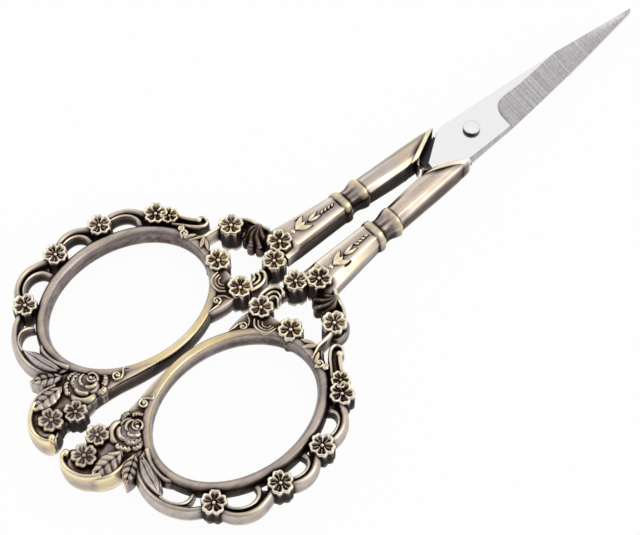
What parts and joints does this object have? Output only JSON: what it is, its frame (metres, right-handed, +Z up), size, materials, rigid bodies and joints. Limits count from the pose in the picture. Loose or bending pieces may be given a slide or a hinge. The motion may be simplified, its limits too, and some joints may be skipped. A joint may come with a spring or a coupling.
{
  "type": "embroidery scissors",
  "caption": "Small embroidery scissors with tapered steel blades on a pivot rivet and cast antique-brass handles whose finger rings carry an openwork border of flowers, scrolls and leaves.",
  "frame": {"origin": "middle of the underside's bounding box, scissors lying flat and closed", "axes": "+X from the handles to the blade tips, +Z up through the front blade's outer face, +Y towards the rear handle"},
  "size_m": [0.1278, 0.0586, 0.0054],
  "materials": {
    "blade_steel": "polished outer face with a cross-ground bevel",
    "antique_brass": "antique plating, dark in the recesses and rubbed bright on the edges",
    "rivet_steel": "polished"
  },
  "bodies": {
    "rear_half": {"rear_blade": "blade_steel", "rear_handle": "antique_brass", "pivot_rivet": "rivet_steel"},
    "front_half": {"front_blade": "blade_steel", "front_handle": "antique_brass"}
  },
  "joints": [
    {"name": "pivot", "type": "hinge", "parent": "rear_half", "child": "front_half", "pos_m": [0.02462, 0, 0.0027], "axis": [0, 0, 1], "range_deg": [0, 90]}
  ]
}
